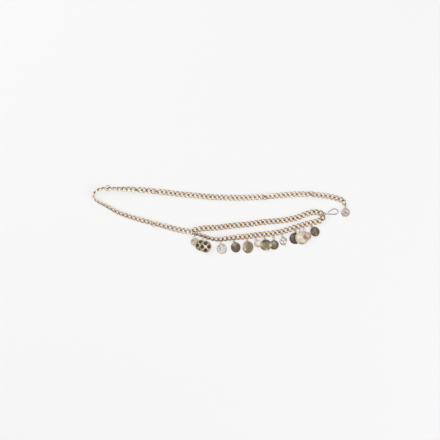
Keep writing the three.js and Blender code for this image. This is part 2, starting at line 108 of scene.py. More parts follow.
SWAG_LINE = (
    (-50.6, -25.4, 57, 0.1), (-42.6, -27.1, 58, 0.3), (-36, -28.9, 60, 0.9),
    (-27, -31.9, 60, 0.9), (-14.4, -35.8, 50, 0.9), (-1.8, -36.4, 36, 0.9),
    (12.6, -34.7, 30, 0.9), (28.8, -32.8, 24, 0.6), (40, -31.9, 8, 0.5), (48.6, -31.3, 0, 0.5),
    (64.1, -28.8, 0, 0.5), (84.6, -27, 0, 0.5), (106.2, -23.4, 0, 0.5), (120.6, -19.3, 0, 0.5),
    (135, -14.4, 0, 0.5), (149.4, -10.3, 0, 0.5), (160.2, -7.2, 0, 0.5), (168, -5.6, 0, 0.5),
    (175, -3.9, 0, 0.5), (181.3, -1.3, -5, 0.6), (184.5, 6, -5, 0.6), (187.5, 13, -5, 0.6))

# A number is a run of links; a tuple is an adjusting ring with its side and its rise.
WAIST_MAKE_UP = (8, (-1, 0), 10, (1, 0), 12, 12, (1, 0.6), 4, (1, 0.8), 6, (-1, 0), 6, 6, 7,
                 (-1, 0), 8)
FRONT_MAKE_UP = (8, 8, 7, 7)
SWAG_MAKE_UP = (3, 5, 6, 6, 6, 5)

# Shared rings: middle, then turns about X, Y and Z in degrees.
JUNCTION_SEAT = ((-52.52, -22.94, 3.8), (11.9, -3.7, -41.2))
HOOK_RING_SEAT = ((184.44, 8.18, 3.48), (1.5, -0.2, 5.2))
EYE_SEAT = ((188.57, 8.94, 3.29), (90, 0, -3.9))
HOOK_LINE = (
    (190, 8.85, 1.85), (191.7, 8.8, 1.05), (194.7, 8.8, 0.9), (200.1, 8.7, 0.9),
    (206.3, 8.8, 0.9), (210.1, 11.5, 0.9), (209.5, 15.8, 0.9), (205.3, 18.3, 0.9),
    (200.7, 17.3, 0.9), (196.4, 14.6, 0.9), (192.9, 12.1, 0.9))

# Coins: middle, radius, link, loop's drop, place on the ring, lift, stack, finish, relief,
# and how much narrower than tall.
COIN_KEYS = ("name", "x", "y", "radius", "link", "drop", "angle", "lift", "stack", "finish",
             "relief", "narrow")
COINS = [dict(zip(COIN_KEYS, row)) for row in (
    ("coin_01", -42.7, -36.7, 7.6, 0, 0.6, -30, 0, "left", "cream_gold", "sprig", 1.0),
    ("coin_02", -35.6, -44.3, 10.1, 2, 0, 0, 1.95, "left", "antique_gold", "quatrefoil", 1.0),
    ("coin_03", -27, -47.3, 10.6, 3, 0, 29, 4.12, "left", "antique_gold", "quatrefoil", 1.0),
    ("coin_04", 1.3, -50.9, 9.6, 6, 0, -30, 0, "", "silver", "wreath", 1.0),
    ("coin_05", 26.5, -50.9, 9.1, 9, 0.5, -30, 0, "", "dark_bronze", "sun", 0.96),
    ("coin_06", 48.4, -52, 10.4, 12, 0, -30, 0, "", "olive_bronze", "old", 0.95),
    ("coin_07", 66.2, -45.2, 7, 14, 0, -30, 0, "middle", "pink_silver", "star", 1.0),
    ("coin_08", 80.6, -47.9, 10.3, 16, 0, 0, 1.95, "middle", "olive_bronze", "wheel", 1.0),
    ("coin_09", 95.4, -47.2, 8.6, 18, 3.5, -30, 0, "middle", "dark_bronze", "rosette", 1.0),
    ("coin_10", 112.3, -40.3, 7.3, 20, 1.5, -30, 0, "", "pink_silver", "openwork", 0.95),
    ("coin_11", 131.9, -35.8, 10.3, 23, 0.5, -30, 0, "right", "dark_bronze", "rosette", 1.0),
    ("coin_12", 145.8, -33.5, 12.1, 24, 0, 0, 1.95, "right", "cream_gold", "wreath", 1.0),
    ("coin_13", 155, -30.6, 7.4, 25, 5, 29, 4.08, "right", "rose_gold", "star", 1.0),
    ("coin_14", 170.5, -20.2, 8.7, 27, 0, -30, 0, "", "dark_bronze", "sun", 0.95))]
END_COIN = dict(zip(COIN_KEYS, ("end_coin", 223, 15.2, 8.2, 0, 0.8, -30, 0, "", "pink_silver",
                                "rosette", 1.0)))

# Marks on the coins' faces, in parts of the radius from the middle: painted sheen where bright,
# painted shade and tarnish where dark.
MARK_KEYS = ("coin", "x", "y", "size", "light")
COIN_MARKS = [dict(zip(MARK_KEYS, row)) for row in (
    ("coin_01", -0.4, 0.3, 0.5, -0.55), ("coin_01", 0.3, -0.4, 0.5, -0.4),
    ("coin_01", 0.4, 0.5, 0.4, -0.4), ("coin_01", 0, -0.1, 1.3, -0.32),
    ("coin_04", -0.6, 0.45, 0.25, -0.6), ("coin_04", -0.3, 0.05, 0.22, -0.45),
    ("coin_04", -0.75, -0.35, 0.2, -0.4), ("coin_04", 0.3, 0.7, 0.25, -0.4),
    ("coin_05", -0.3, 0.6, 0.6, 0.55), ("coin_05", 0.35, 0.7, 0.3, 0.25),
    ("coin_06", -0.8, 0.15, 0.5, 0.6), ("coin_06", -0.45, -0.35, 0.25, 1.0),
    ("coin_06", -0.4, 0.7, 0.4, 0.35),
    ("coin_07", -0.4, 0.1, 0.35, -0.45), ("coin_07", -0.1, -0.5, 0.3, -0.3),
    ("coin_07", 0.3, 0.2, 0.9, 0.35),
    ("coin_08", 0.88, 0, 0.4, 0.85), ("coin_08", -0.85, 0.1, 0.45, 0.5),
    ("coin_08", 0.1, -0.9, 0.35, 0.6), ("coin_08", -0.4, 0.6, 0.28, -1.0),
    ("coin_08", 0, 0.64, 0.28, -1.0), ("coin_08", 0.4, 0.6, 0.28, -1.0),
    ("coin_09", -0.15, 0.35, 0.75, 0.4),
    ("coin_11", 0.1, -0.2, 1.1, -0.75), ("coin_11", -0.5, 0.35, 0.4, 0.25),
    ("coin_12", -0.3, -0.9, 0.35, -0.8), ("coin_12", 0.1, -0.95, 0.35, -0.8),
    ("coin_12", 0.3, 0.2, 1.1, -0.3),
    ("coin_13", -0.5, 0, 0.5, -0.45), ("coin_13", -0.2, -0.5, 0.4, -0.35),
    ("coin_14", -0.1, 0.5, 0.4, 0.25), ("coin_14", 0.3, -0.55, 0.25, 0.45),
    ("coin_14", -0.5, -0.2, 0.3, 0.2),
    ("end_coin", 0, 0, 0.28, -0.9))]

# ---- Layout -----------------------------------------------------------------------------------


def clamp(value, low, high):
    return max(low, min(high, value))


def lerp(a, b, part):
    return a + (b - a) * part


# The frame's link is a ring of eight flat stretches of square wire: these are its corners.
def frame_link_corners():
    stretches = 8
    spread = 1 / cos(pi / stretches)
    corners = []
    for i in range(stretches):
        turn = (i + 0.5) * 2 * pi / stretches
        flat = Vector((cos(turn) / LINK["half_length"], sin(turn) / LINK["half_width"], 0))
        flat.normalize()
        for across in (-1, 1):
            for rise in (-1, 1):
                point = Vector((LINK["half_length"] * spread * cos(turn),
                                LINK["half_width"] * spread * sin(turn),
                                rise * LINK["half_wire"]))
                point += flat * across * LINK["half_wire"] * spread
                corners.append(wring(point, LINK["twist"]))
    return corners


def wring(point, twist):
    turned = Matrix.Rotation(-twist * clamp(point.x / LINK["half_length"], -1, 1), 3, "X") @ point
    half = LINK["thickness"] / 2
    turned.z = clamp(turned.z, -half, half)
    return turned


LINK_CORNERS = frame_link_corners()


def standing_height(roll):
    return -min(p.y * sin(roll) + p.z * cos(roll) for p in LINK_CORNERS)


def sample_line(rows):
    points = [Vector((x, y, 0)) - CENTRE for x, y, _, _ in rows]
    ends = [points[0] * 2 - points[1]] + points + [points[-1] * 2 - points[-2]]
    samples = []
    for i in range((len(rows) - 1) * SAMPLES_PER_ROW + 1):
        before = min(i // SAMPLES_PER_ROW, len(rows) - 2)
        part = i / SAMPLES_PER_ROW - before
        p0, p1, p2, p3 = ends[before:before + 4]
        t0, t1 = (p2 - p0) / 2, (p3 - p1) / 2
        bend2 = (p2 - p1) * 3 - t0 * 2 - t1
        bend3 = (p1 - p2) * 2 + t0 + t1
        samples.append({
            "point": p1 + t0 * part + bend2 * part ** 2 + bend3 * part ** 3,
            "roll": radians(lerp(rows[before][2], rows[before + 1][2], part)),
            "lift": lerp(rows[before][3], rows[before + 1][3], part),
            "height": 0.0,
        })
    return samples


def sample_at(samples, place):
    before = int(clamp(math.floor(place), 0, len(samples) - 2))
    a, b = samples[before], samples[before + 1]
    part = place - before
    return (a["point"].lerp(b["point"], part), lerp(a["roll"], b["roll"], part),
            lerp(a["height"], b["height"], part))


def step_along(samples, start, distance):
    origin = sample_at(samples, start)[0]
    stride = 1 if distance > 0 else -1
    reach = abs(distance)
    place = math.floor(start) if stride > 0 else math.ceil(start)
    last = 0.0
    while 0 <= place + stride < len(samples):
        gone = (samples[place + stride]["point"] - origin).length
        if gone >= reach:
            return place + stride * (reach - last) / (gone - last)
        last = gone
        place += stride
    return place


def basis(x_axis, y_axis, z_axis, origin):
    turned = Matrix((x_axis, y_axis, z_axis)).transposed().to_4x4()
    turned.translation = origin
    return turned


def chain_frame(low, high, roll):
    along = (high - low).normalized()
    left = UP.cross(along).normalized()
    laid = basis(along, left, along.cross(left), (low + high) / 2)
    return laid @ Matrix.Rotation(roll, 4, "X")


def lift_clear(laid):
    lowest = min(0.0, min((laid @ p).z for p in LINK_CORNERS))
    laid.translation.z -= lowest
    return laid


def walk(samples, make_up, pitch):
    runs, rings = [], []
    ring_reach = RING_SEAT["to_neighbour"] - pitch / 2
    place, after_run = 0, False
    for item in make_up:
        if isinstance(item, tuple):
            middle = step_along(samples, place, ring_reach)
            rings.append({"place": middle, "side": item[0], "rise": item[1]})
            place = step_along(samples, middle, ring_reach)
            after_run = False
            continue
        if after_run:
            place = step_along(samples, place, -RUN_STEP_BACK)
        laid = []
        for _ in range(item):
            ahead = step_along(samples, place, pitch)
            here, there = sample_at(samples, place), sample_at(samples, ahead)
            low = Vector((here[0].x, here[0].y, here[2]))
            high = Vector((there[0].x, there[0].y, there[2]))
            laid.append(lift_clear(chain_frame(low, high, (here[1] + there[1]) / 2)))
            place = ahead
        runs.append(laid)
        after_run = True
    return runs, rings


def lay_chain(rows, make_up, pitch):
    samples = sample_line(rows)
    _, draft = walk(samples, make_up, pitch)
    bare = [sample["roll"] for sample in samples]
    for sample in samples:
        sample["height"] = standing_height(sample["roll"]) + sample["lift"]
    for ring in draft:
        centre = sample_at(samples, ring["place"])[0]
        for sample in samples:
            away = (sample["point"] - centre).length - RING_SEAT["to_neighbour"]
            share = clamp(1 - away / RING_SEAT["fade"], 0, 1)
            if share == 0:
                continue
            sample["roll"] += RING_SEAT["neighbour_roll"] * ring["side"] * share
            natural = standing_height(sample["roll"]) + sample["lift"]
            beside = RING_SEAT["chain_height"] + ring["rise"]
            sample["height"] = max(natural, lerp(natural, beside, share))
    runs, rings = walk(samples, make_up, pitch)
    for ring in rings:
        here, _, height = sample_at(samples, ring["place"])
        ahead = sample_at(samples, ring["place"] + 1)[0]
        behind = sample_at(samples, ring["place"] - 1)[0]
        laid = chain_frame(behind, ahead, bare[round(ring["place"])])
        laid.translation = (here.x, here.y, height)
        side = ring["side"]
        seat = Matrix.Translation((RING_SEAT["back"] * side, RING_SEAT["aside"] * side,
                                   -RING_SEAT["down"]))
        seat @= Matrix.Rotation(RING_SEAT["yaw"], 4, "Z")
        seat @= Matrix.Rotation(RING_SEAT["lean"] * side, 4, "X")
        ring["frame"] = laid @ seat
    return runs, rings


def seat_frame(seat):
    middle, turn = seat
    turned = Euler([radians(angle) for angle in turn], "XYZ").to_matrix().to_4x4()
    turned.translation = Vector(middle) - CENTRE
    return turned


# ---- Finishes ---------------------------------------------------------------------------------

# How fine each pattern is: the number of its waves in a metre.
CLOUD_SCALE, SPECK_SCALE, PATCH_SCALE, SCRATCH_SCALE, MARK_SCALE = 130.0, 900.0, 420.0, 700.0, 210.0
SCRATCH_TURN, SCRATCH_STRETCH = radians(31), 9.0
TARNISH_DULLS = 0.22  # how much rougher the metal is under full tarnish and painted shade
BUMP_DEPTH = 0.0002

def new_group(name, inputs, outputs):
    group = bpy.data.node_groups.new(name, "ShaderNodeTree")
    for label, kind, value in inputs:
        socket = group.interface.new_socket(name=label, in_out="INPUT", socket_type=kind)
        if value is not None:
            socket.default_value = value
    for label, kind in outputs:
        group.interface.new_socket(name=label, in_out="OUTPUT", socket_type=kind)
    return group, group.nodes.new("NodeGroupInput"), group.nodes.new("NodeGroupOutput")


def feed(links, socket, value):
    """Joins a socket to another node's output, or sets it to a plain value."""
    if hasattr(value, "is_output"):
        links.new(value, socket)
    else:
        socket.default_value = value


def maths(nodes, links, operation, first, second):
    node = nodes.new("ShaderNodeMath")
    node.operation = operation
    node.use_clamp = True
    feed(links, node.inputs[0], first)
    feed(links, node.inputs[1], second)
    return node.outputs[0]


def mix_colour(nodes, links, factor, first, second):
    node = nodes.new("ShaderNodeMix")
    node.data_type = "RGBA"
    for index, value in ((0, factor), (6, first), (7, second)):
        feed(links, node.inputs[index], value)
    return node.outputs[2]


def spread(nodes, links, value, low, high, to_low=0.0, to_high=1.0):
    node = nodes.new("ShaderNodeMapRange")
    links.new(value, node.inputs[0])
    for index, number in enumerate((low, high, to_low, to_high), start=1):
        node.inputs[index].default_value = number
    return node.outputs[0]


def noise(nodes, links, where, scale, detail):
    node = nodes.new("ShaderNodeTexNoise")
    links.new(where, node.inputs["Vector"])
    node.inputs["Scale"].default_value = scale
    node.inputs["Detail"].default_value = detail
    return node.outputs["Fac"]


def tarnish_and_shade_group():
    """Dark patina and painted shade: the darkness layer paints shade and patina into the hollows
    and between the links, and patina drifts over the open metal in soft clouds.
    """
    group, entry, leave = new_group(
        "tarnish_and_shade",
        (("Place", "NodeSocketVector", None), ("Painted_shade_and_patina", "NodeSocketFloat", 0.0),
         ("Clouds", "NodeSocketFloat", 0.2), ("Depth", "NodeSocketFloat", 1.0)),
        (("Mask", "NodeSocketFloat"),))
    nodes, links = group.nodes, group.links
    clouds = spread(nodes, links, noise(nodes, links, entry.outputs["Place"], CLOUD_SCALE, 4.0),
                    0.42, 0.72)
    specks = spread(nodes, links, noise(nodes, links, entry.outputs["Place"], SPECK_SCALE, 3.0),
                    0.35, 0.67, 0.72, 1.0)
    drift = maths(nodes, links, "MULTIPLY", clouds, entry.outputs["Clouds"])
    packed = maths(nodes, links, "MULTIPLY", entry.outputs["Painted_shade_and_patina"], entry.outputs["Depth"])
    packed = maths(nodes, links, "MULTIPLY", packed, specks)
    total = maths(nodes, links, "ADD", drift, packed)
    links.new(total, leave.inputs["Mask"])
    return group


def edge_wear_group():
    """Bright metal where edges and high places have been rubbed."""
    group, entry, leave = new_group(
        "edge_wear",
        (("Place", "NodeSocketVector", None), ("Amount", "NodeSocketFloat", 0.5)),
        (("Mask", "NodeSocketFloat"),))
    nodes, links = group.nodes, group.links
    geometry = nodes.new("ShaderNodeNewGeometry")
    edges = spread(nodes, links, geometry.outputs["Pointiness"], 0.5, 0.62)
    patches = spread(nodes, links, noise(nodes, links, entry.outputs["Place"], PATCH_SCALE, 3.0),
                     0.3, 0.65)
    wear_and_sheen = maths(nodes, links, "MULTIPLY", edges, patches)
    links.new(maths(nodes, links, "MULTIPLY", wear_and_sheen, entry.outputs["Amount"]),
              leave.inputs["Mask"])
    return group


def handling_group():
    """Fine scratches and finger marks: a height for the bump, and a roughness value."""
    group, entry, leave = new_group(
        "handling",
        (("Place", "NodeSocketVector", None), ("Smooth", "NodeSocketFloat", 0.2),
         ("Rough", "NodeSocketFloat", 0.4)),
        (("Height", "NodeSocketFloat"), ("Roughness", "NodeSocketFloat")))
    nodes, links = group.nodes, group.links
    stretch = nodes.new("ShaderNodeMapping")
    links.new(entry.outputs["Place"], stretch.inputs["Vector"])
    stretch.inputs["Rotation"].default_value = (0.0, 0.0, SCRATCH_TURN)
    stretch.inputs["Scale"].default_value = (1.0, SCRATCH_STRETCH, 1.0)
    scratches = noise(nodes, links, stretch.outputs["Vector"], SCRATCH_SCALE, 5.0)
    links.new(scratches, leave.inputs["Height"])
    marks = spread(nodes, links, noise(nodes, links, entry.outputs["Place"], MARK_SCALE, 4.0),
                   0.3, 0.7)
    span = maths(nodes, links, "SUBTRACT", entry.outputs["Rough"], entry.outputs["Smooth"])
    links.new(maths(nodes, links, "ADD", maths(nodes, links, "MULTIPLY", marks, span),
                    entry.outputs["Smooth"]), leave.inputs["Roughness"])
    return group


TARNISH_AND_SHADE = tarnish_and_shade_group()
EDGE_WEAR = edge_wear_group()
HANDLING = handling_group()

# Colour of the plate, of the patina and painted shade in the hollows, and of the rubbed edges and
# painted sheen; clouds and depth of the patina and shade, wear, roughness from and to, and bump.
FINISH_KEYS = ("plate", "patina_and_shade_colour", "wear_and_sheen", "clouds", "depth", "wear", "smooth", "rough", "bump",
               "slot")
FINISHES = {name: dict(zip(FINISH_KEYS, row)) for name, row in {
    "pale_gold": ((0.83, 0.65, 0.465), (0.26, 0.18, 0.11), (1.0, 0.91, 0.77),
                  0.2, 0.97, 0.6, 0.15, 0.3, 0.05, "pale_gold"),
    "warm_gold": ((0.65, 0.44, 0.26), (0.13, 0.075, 0.036), (1.0, 0.88, 0.68),
                  0.22, 0.97, 0.6, 0.15, 0.3, 0.05, "pale_gold"),
    "cream_gold": ((0.82, 0.75, 0.61), (0.25, 0.2, 0.13), (1.0, 0.97, 0.88),
                   0.3, 0.85, 0.5, 0.25, 0.45, 0.06, "pale_gold"),
    "rose_gold": ((0.61, 0.47, 0.39), (0.15, 0.09, 0.06), (0.95, 0.84, 0.77),
                  0.35, 0.9, 0.5, 0.24, 0.42, 0.06, "rose_gold"),
    "pink_silver": ((0.66, 0.57, 0.51), (0.16, 0.11, 0.09), (0.96, 0.92, 0.88),
                    0.35, 0.9, 0.6, 0.24, 0.42, 0.06, "rose_gold"),
    "silver": ((0.68, 0.66, 0.61), (0.17, 0.15, 0.12), (0.95, 0.94, 0.9),
               0.35, 0.9, 0.7, 0.22, 0.4, 0.06, "silver"),
    "steel": ((0.34, 0.32, 0.3), (0.14, 0.13, 0.12), (0.9, 0.89, 0.87),
              0.2, 0.9, 0.6, 0.18, 0.3, 0.04, "silver"),
    "dark_bronze": ((0.19, 0.14, 0.098), (0.055, 0.041, 0.028), (0.6, 0.52, 0.42),
                    0.4, 0.85, 0.7, 0.34, 0.55, 0.1, "dark_bronze"),
    "olive_bronze": ((0.3, 0.245, 0.158), (0.09, 0.075, 0.05), (0.78, 0.7, 0.56),
                     0.4, 0.85, 0.7, 0.32, 0.5, 0.08, "antique_gold"),
    "antique_gold": ((0.74, 0.63, 0.44), (0.075, 0.058, 0.035), (0.95, 0.86, 0.68),
                     0.4, 0.9, 0.6, 0.26, 0.45, 0.08, "antique_gold"),
    # near black, for the four sunken lobes of the quatrefoil coins
    "lobe_dark": ((0.06, 0.045, 0.034), (0.02, 0.016, 0.013), (0.3, 0.25, 0.19),
                    0.3, 0.8, 0.4, 0.25, 0.45, 0.06, "dark_bronze"),
}.items()}

WARM_SHADE_TINT = (0.66, 0.37, 0.26)  # copper colour, painted on some swag links as warm shade and reflection from their neighbours


def metal(name):
    look = FINISHES[name]
    material = bpy.data.materials.new(name)
    material.use_nodes = True
    nodes, links = material.node_tree.nodes, material.node_tree.links
    shader = nodes["Principled BSDF"]
    shader.inputs["Metallic"].default_value = 1.0
    shader.inputs["IOR"].default_value = 1.5
    place = nodes.new("ShaderNodeTexCoord").outputs["Object"]
    marks = {}
    for mark in ("painted_shade_and_patina", "painted_sheen", "warm_shade"):
        marks[mark] = nodes.new("ShaderNodeAttribute")
        marks[mark].attribute_name = mark

    def effect(group, **values):
        node = nodes.new("ShaderNodeGroup")
        node.node_tree = group
        links.new(place, node.inputs["Place"])
        for label, value in values.items():
            node.inputs[label].default_value = value
        return node

    tarnish_and_shade = effect(TARNISH_AND_SHADE, Clouds=look["clouds"], Depth=look["depth"])
    links.new(marks["painted_shade_and_patina"].outputs["Fac"], tarnish_and_shade.inputs["Painted_shade_and_patina"])
    wear = effect(EDGE_WEAR, Amount=look["wear"])
    handling = effect(HANDLING, Smooth=look["smooth"], Rough=look["rough"])
    # Painted warm shade and reflection on some swag links.
    warmed = mix_colour(nodes, links, marks["warm_shade"].outputs["Fac"], (*look["plate"], 1.0),
                        (*WARM_SHADE_TINT, 1.0))
    # Painted shade and patina from the darkness layer, with tarnish clouds, darken the colour.
    dulled = mix_colour(nodes, links, tarnish_and_shade.outputs["Mask"], warmed, (*look["patina_and_shade_colour"], 1.0))
    # Rubbed edges, and the painted sheen of the coins' bright marks.
    wear_and_sheen = maths(nodes, links, "ADD", wear.outputs["Mask"], marks["painted_sheen"].outputs["Fac"])
    links.new(mix_colour(nodes, links, wear_and_sheen, dulled, (*look["wear_and_sheen"], 1.0)),
              shader.inputs["Base Color"])
    rough = maths(nodes, links, "ADD", handling.outputs["Roughness"],
                  maths(nodes, links, "MULTIPLY", tarnish_and_shade.outputs["Mask"], TARNISH_DULLS))
    links.new(rough, shader.inputs["Roughness"])
    bump = nodes.new("ShaderNodeBump")
    bump.inputs["Strength"].default_value = look["bump"]
    bump.inputs["Distance"].default_value = BUMP_DEPTH
    links.new(handling.outputs["Height"], bump.inputs["Height"])
    links.new(bump.outputs["Normal"], shader.inputs["Normal"])
    return material


METALS = {name: metal(name) for name in FINISHES}

# ---- Meshing ----------------------------------------------------------------------------------


def start_mesh():
    shape = bmesh.new()
    for mark in ("painted_shade_and_patina", "painted_sheen", "warm_shade"):
        shape.verts.layers.float.new(mark)
    return shape


def torus(radius, wire, steps, sides, turn=2 * pi):
    """A round wire bent round Z; less than a full turn leaves two flat ends."""
    ring = start_mesh()
    section = Matrix.Translation((radius, 0, 0)) @ Matrix.Rotation(pi / 2, 4, "X")
    made = bmesh.ops.create_circle(ring, cap_ends=False, radius=wire, segments=sides,
                                   matrix=section)
    whole = turn > 2 * pi - 1e-6
    edges = list(ring.edges)
    if not whole:
        bmesh.ops.contextual_create(ring, geom=edges)
    bmesh.ops.spin(ring, geom=made["verts"] + list(ring.edges) + list(ring.faces),
                   cent=(0, 0, 0), axis=(0, 0, 1), dvec=(0, 0, 0), angle=turn, steps=steps,
                   use_merge=whole, use_duplicate=False)
    bmesh.ops.remove_doubles(ring, verts=list(ring.verts), dist=1e-5)
    bmesh.ops.recalc_face_normals(ring, faces=list(ring.faces))
    return ring


# Paints a darkness layer of painted shade and patina, worked out at each point.
def shade(shape, darkness):
    layer = shape.verts.layers.float["painted_shade_and_patina"]
    for vertex in shape.verts:
        vertex[layer] = clamp(darkness(vertex.co), 0, 1)


def shape_points(shape, move):
    for vertex in shape.verts:
        vertex.co = move(vertex.co)


def add_copy(whole, part, matrix):
    """Adds a turned and placed copy of a small mesh to a larger one."""
    copy = part.copy()
    bmesh.ops.transform(copy, matrix=matrix, verts=list(copy.verts))
    mesh = bpy.data.meshes.new("passing")
    copy.to_mesh(mesh)
    copy.free()
    whole.from_mesh(mesh)
    bpy.data.meshes.remove(mesh)


def make_piece(name, shape, finish, body, replaced=(), sharp=35):
    bmesh.ops.transform(shape, matrix=Matrix.Scale(MM, 4), verts=list(shape.verts))
    mesh = bpy.data.meshes.new(name)
    shape.to_mesh(mesh)
    shape.free()
    mesh.shade_smooth()
    mesh.set_sharp_from_angle(angle=radians(sharp))
    mesh.materials.append(METALS[finish])
    piece = bpy.data.objects.new(name, mesh)
    bpy.context.scene.collection.objects.link(piece)
    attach(piece, body)
    if replaced:
        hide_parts(*replaced)
    return piece


# ---- Chain and rings --------------------------------------------------------------------------


def curb_link():
    """An oval of round wire, wrung end against end and pressed flat on both faces."""
    link = torus(GUIDE, LINK_WIRE, LINK_STEPS, LINK_SIDES)
    half = LINK["thickness"] / 2

    def bend(point):
        turn = math.atan2(point.y, point.x)
        outward = math.hypot(point.x, point.y) - GUIDE
        flat = Vector((cos(turn) / LINK["half_length"], sin(turn) / LINK["half_width"], 0))
        flat.normalize()
        oval = Vector((DRAWN_HALF_LENGTH * cos(turn), DRAWN_HALF_WIDTH * sin(turn), point.z))
        wide = lerp(1, LINK_SIDE_WIDTH, sin(turn) ** 2)
        return wring(oval + flat * outward * wide, DRAWN_TWIST)

    # Painted shade and patina: darker on the wire's inner side and much darker at the link's ends,
    # where neighbouring links overlap and shade each other; the pressed faces, which catch the
    # light, keep half of it.
    layer = link.verts.layers.float["painted_shade_and_patina"]
    for vertex in link.verts:
        inward = GUIDE - math.hypot(vertex.co.x, vertex.co.y)
        ends = abs(vertex.co.x) / GUIDE
        vertex[layer] = clamp(0.9 * inward / LINK_WIRE + 1.5 * ends ** 3, 0, 1)
    shape_points(link, bend)
    for vertex in link.verts:
        if abs(vertex.co.z) > half - PRESSED:
            vertex[layer] *= 0.5
    return link


LINK_SHAPE = curb_link()
# Swag links with painted warm shade and reflection: first link, last link and how far.
WARM_SHADED_LINKS = {"swag": ((0, 6, 0.4), (7, 9, 0.85), (13, 16, 0.3), (20, 25, 0.45))}


def place_runs(chain, runs, finish):
    count = 0
    for number, laid in enumerate(runs, start=1):
        whole = start_mesh()
        for matrix in laid:
            add_copy(whole, LINK_SHAPE, matrix)
            # Painted warm shade and reflection on the listed swag links.
            tint = next((share for first, last, share in WARM_SHADED_LINKS.get(chain, ())
                         if first <= count <= last), 0.0)
            layer = whole.verts.layers.float["warm_shade"]
            whole.verts.ensure_lookup_table()
            for vertex in whole.verts[-len(LINK_SHAPE.verts):]:
                vertex[layer] = tint
            count += 1
        node = f"{chain}_run_{number}"
        make_piece(f"{node}_links", whole, finish, "root", (node,), sharp=55)


def place_ring(name, size, matrix, finish="rose_gold", body="root", gap_at=100):
    """A jump ring, closed but for the hairline where its wire was cut."""
    ring = torus(size["radius"], size["wire"], RING_STEPS, RING_SIDES,
                 2 * pi - RING_SPLIT / size["radius"])
    # Painted shade and patina on the inner side of the ring's wire.
    shade(ring, lambda p: 0.75 * (size["radius"] - math.hypot(p.x, p.y)) / size["wire"])
    bmesh.ops.transform(ring, matrix=matrix @ Matrix.Rotation(radians(gap_at), 4, "Z"),
                        verts=list(ring.verts))
    make_piece(f"{name}_wire", ring, finish, body, (name,))


waist_runs, waist_rings = lay_chain(WAIST_LINE, WAIST_MAKE_UP, PITCH)
front_runs, _ = lay_chain(FRONT_LINE, FRONT_MAKE_UP, FRONT_PITCH)
swag_runs, _ = lay_chain(SWAG_LINE, SWAG_MAKE_UP, SWAG_PITCH)
place_runs("waist", waist_runs, "pale_gold")
place_runs("front", front_runs, "warm_gold")
place_runs("swag", swag_runs, "warm_gold")
for number, ring in enumerate(waist_rings, start=1):
    place_ring(f"adjusting_ring_{number}", ADJUSTING_RING, ring["frame"], "warm_gold")
place_ring("junction_ring", JUNCTION_RING, seat_frame(JUNCTION_SEAT))
place_ring("hook_ring", HOOK_RING, seat_frame(HOOK_RING_SEAT))

# ---- The hook ---------------------------------------------------------------------------------


def hook_shape():
    curve = bpy.data.curves.new("hook_line", "CURVE")
    curve.dimensions = "3D"
    curve.bevel_depth = HOOK_WIRE
    curve.bevel_resolution = 5
    curve.use_fill_caps = True
    curve.resolution_u = 10
    spline = curve.splines.new("BEZIER")
    spline.bezier_points.add(len(HOOK_LINE) - 1)
    for knot, point in zip(spline.bezier_points, HOOK_LINE):
        knot.co = Vector(point) - CENTRE
        knot.handle_left_type = knot.handle_right_type = "AUTO"
    carrier = bpy.data.objects.new("hook_line", curve)
    bpy.context.scene.collection.objects.link(carrier)
    bpy.context.view_layer.update()
    evaluated = carrier.evaluated_get(bpy.context.evaluated_depsgraph_get())
    mesh = bpy.data.meshes.new_from_object(evaluated)
    wire = start_mesh()
    wire.from_mesh(mesh)
    bpy.data.objects.remove(carrier)
    bpy.data.curves.remove(curve)
    bpy.data.meshes.remove(mesh)
    eye = torus(HOOK_EYE_RADIUS, EYE_WIRE, EYE_STEPS, RING_SIDES)
    # Painted shade and patina on the inner side of the hook's eye.
    shade(eye, lambda p: 0.7 * (HOOK_EYE_RADIUS - math.hypot(p.x, p.y)) / HOOK_WIRE)
    add_copy(wire, eye, seat_frame(EYE_SEAT))
    eye.free()
    ball = start_mesh()
    bmesh.ops.create_uvsphere(ball, u_segments=16, v_segments=10, radius=HOOK_BALL)
    add_copy(wire, ball, Matrix.Translation(Vector(HOOK_LINE[-1]) - CENTRE))
    ball.free()
    bmesh.ops.remove_doubles(wire, verts=list(wire.verts), dist=1e-5)
    bmesh.ops.recalc_face_normals(wire, faces=list(wire.faces))
    return wire


make_piece("hook_wire", hook_shape(), "steel", "hook_body", ("hook",))

# ---- Coins ------------------------------------------------------------------------------------


def relief(shape, maker, matrix, **sizes):
    part = start_mesh()
    maker(part, **sizes)
    add_copy(shape, part, matrix)
    part.free()


def round_about(count, radius, start=0.0):
    for i in range(count):
        turn = start + i * 2 * pi / count
        yield turn, Matrix.Rotation(turn, 4, "Z") @ Matrix.Translation((radius, 0, FIELD))


def bead(part, size):
    """A round grain, or a low boss where it is large, so that it stays clear of the back."""
    bmesh.ops.create_icosphere(part, subdivisions=1 if size < 0.5 else 3, radius=size,
                               matrix=Matrix.Diagonal((1, 1, min(0.8, 0.6 / size), 1)))


def leaf(part, length, width, height=STRUCK):
    bmesh.ops.create_uvsphere(part, u_segments=10, v_segments=6, radius=1,
                              matrix=Matrix.Diagonal((length / 2, width / 2, height, 1)))
    for vertex in part.verts:
        taper = 1 - 0.45 * (vertex.co.x / (length / 2)) ** 2
        vertex.co.y *= taper


def star(part, points, radius, inner, height=STRUCK):
    made = bmesh.ops.create_cone(part, cap_ends=True, cap_tris=False, segments=2 * points,
                                 radius1=radius, radius2=0.02, depth=height)
    for vertex in made["verts"]:
        turn = math.atan2(vertex.co.y, vertex.co.x)
        if vertex.co.z < 0 and round(turn / (pi / points)) % 2:
            vertex.co.x *= inner
            vertex.co.y *= inner


def pad(part, corners, radius, top, height=STRUCK):
    bmesh.ops.create_cone(part, cap_ends=True, cap_tris=False, segments=corners, radius1=radius,
                          radius2=top, depth=height)


